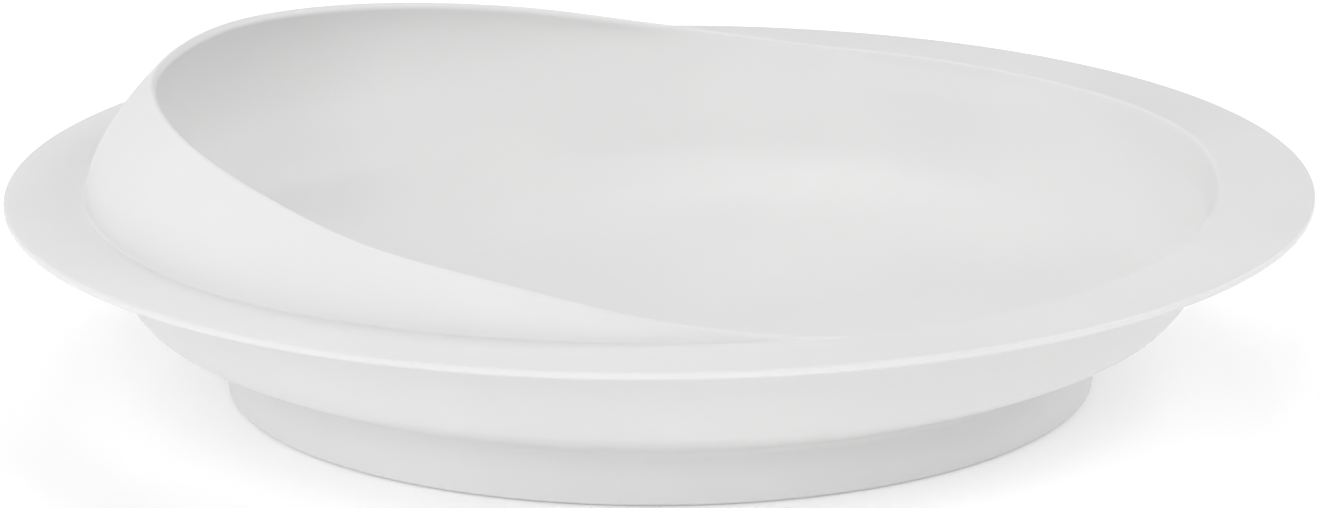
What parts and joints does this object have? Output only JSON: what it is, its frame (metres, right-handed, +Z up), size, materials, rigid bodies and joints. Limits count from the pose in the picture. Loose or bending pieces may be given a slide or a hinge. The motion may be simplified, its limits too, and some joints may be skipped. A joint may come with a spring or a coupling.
{
  "type": "scoop dish",
  "caption": "Round white feeding dish with a flange all round, a high back wall that curves inward to push food onto a spoon, a ring foot and a rubber non-skid ring under it.",
  "frame": {"origin": "centre of the underside, on the surface that the dish stands on", "axes": "+Z up along the dish's round body, the high back wall at -X, the low side at +X; mirror-symmetric about the XZ plane"},
  "size_m": [0.2032, 0.2032, 0.0484],
  "materials": {
    "dish_plastic": "white moulded plastic with a soft satin surface",
    "ring_rubber": "pale grey matt rubber"
  },
  "bodies": {
    "root": {"dish_moulding": "dish_plastic", "non_skid_ring": "ring_rubber"}
  },
  "joints": []
}
